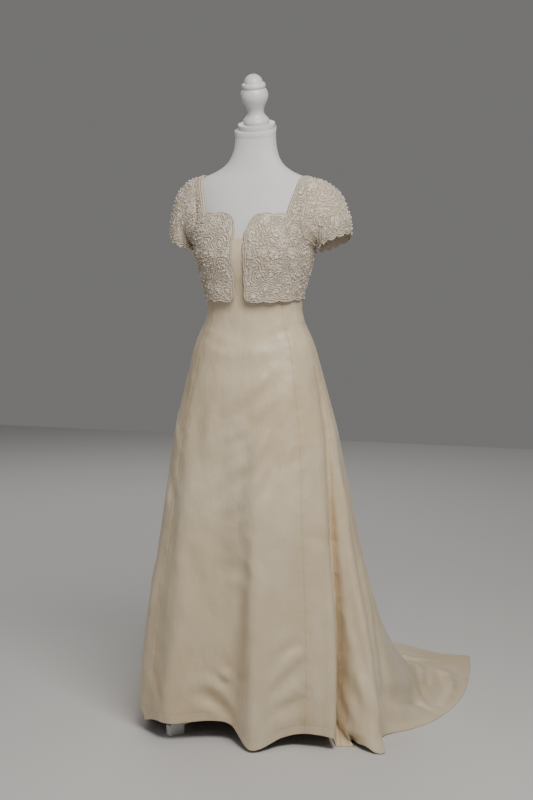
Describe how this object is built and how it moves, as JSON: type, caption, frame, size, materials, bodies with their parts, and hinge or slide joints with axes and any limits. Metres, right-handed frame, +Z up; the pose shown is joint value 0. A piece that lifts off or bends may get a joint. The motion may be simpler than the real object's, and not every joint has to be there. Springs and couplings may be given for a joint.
{
  "type": "wedding dress on a limbless dress form and stand",
  "caption": "Floor-length satin wedding gown with train and lace overbodice with cap sleeves, on a limbless dress form and wooden stand.",
  "frame": {"origin": "centre of the whole object's box on the floor plane z = 0, between the stand's pole and the end of the train", "axes": "+Z up along the pole; the dress faces -Y and the train runs out along +Y; +X is the wearer's left"},
  "size_m": [0.864, 1.1172, 1.627],
  "materials": {
    "ivory_satin": "heavy ivory satin with a soft sheen",
    "corded_lace": "light ecru corded lace with small pearls",
    "jersey": "white jersey over padding",
    "white_paint": "turned and sawn wood in glossy white paint"
  },
  "bodies": {
    "root": {"gown_centre_front": "ivory_satin", "gown_side_front_left": "ivory_satin", "gown_side_front_right": "ivory_satin", "gown_side_back_left": "ivory_satin", "gown_side_back_right": "ivory_satin", "gown_centre_back_left": "ivory_satin", "gown_centre_back_right": "ivory_satin", "lace_front_left": "corded_lace", "lace_front_right": "corded_lace", "lace_back_left": "corded_lace", "lace_back_right": "corded_lace", "sleeve_left": "corded_lace", "sleeve_right": "corded_lace", "form_body": "jersey", "neck_cap": "white_paint", "finial": "white_paint", "pole": "white_paint", "hub": "white_paint", "leg_1": "white_paint", "leg_2": "white_paint", "leg_3": "white_paint"}
  },
  "joints": []
}
